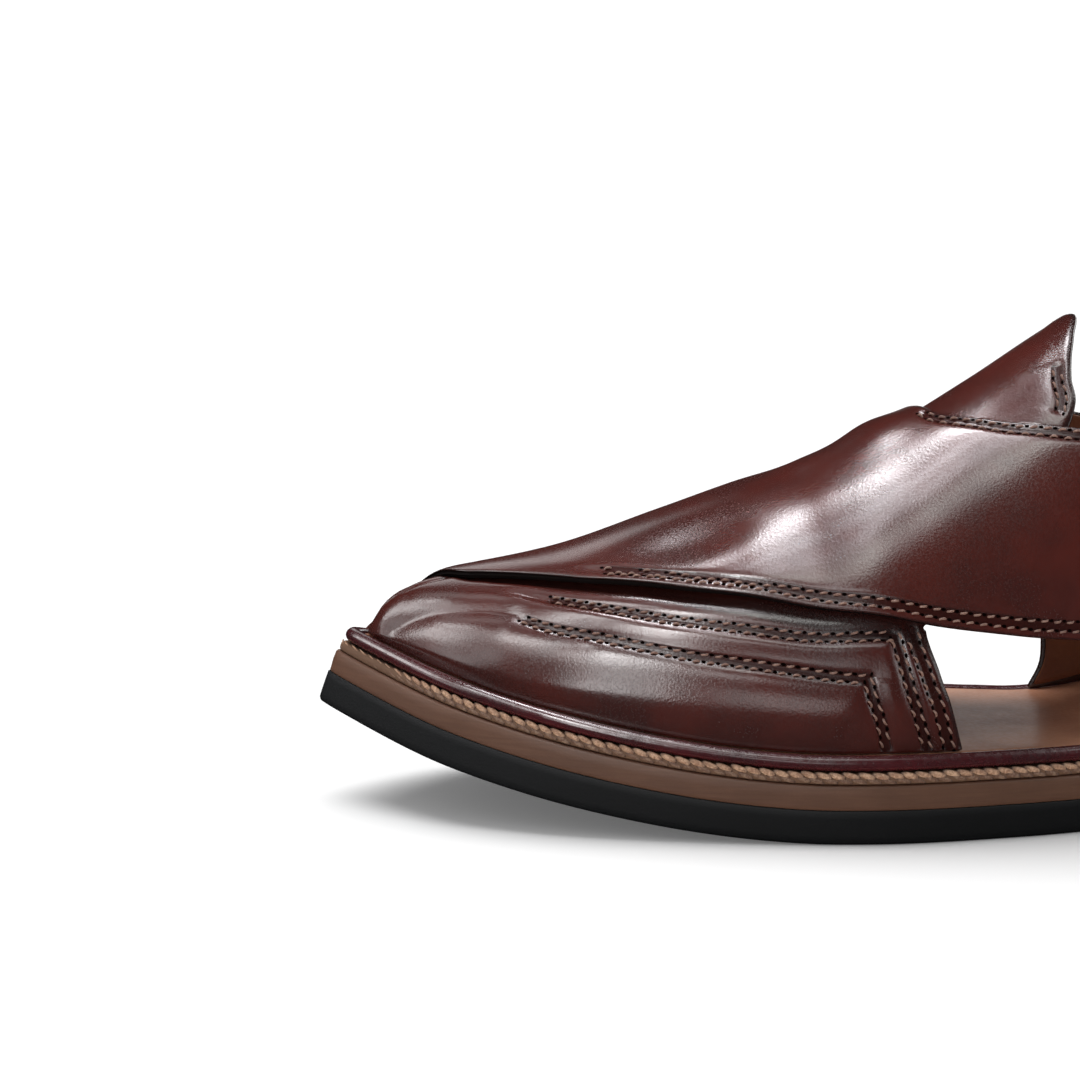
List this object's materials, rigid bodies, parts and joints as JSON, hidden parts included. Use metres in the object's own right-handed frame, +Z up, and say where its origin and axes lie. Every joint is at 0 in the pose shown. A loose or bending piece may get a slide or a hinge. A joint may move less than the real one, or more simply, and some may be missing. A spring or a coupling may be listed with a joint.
{
  "type": "peshawari chappal",
  "caption": "Closed-toe leather sandal: two wide straps cross over the instep above a layered sole with a sprung toe, side windows and a buckled heel strap.",
  "frame": {"origin": "middle of the shoe's box at ground level, shoe standing on its sole", "axes": "+Y from toe to heel, +X to the outer (lateral) side, +Z up"},
  "size_m": [0.0916, 0.29, 0.1091],
  "materials": {
    "rubber": "matte near-black rubber",
    "midsole": "brown leather edge, burnished",
    "welt": "tan strip overcast with coarse thread",
    "piping": "maroon, glossy",
    "insole": "tan-brown, half gloss",
    "upper": "dark red-brown, polished",
    "buckle": "worn satin"
  },
  "bodies": {
    "root": {"outsole": "rubber", "heel": "rubber", "midsole": "midsole", "welt": "welt", "piping": "piping", "insole": "insole", "upper": "upper", "heel_strap": "upper", "buckle_tab": "upper", "keeper": "upper", "buckle_frame": "buckle", "buckle_prong": "buckle"}
  },
  "joints": []
}
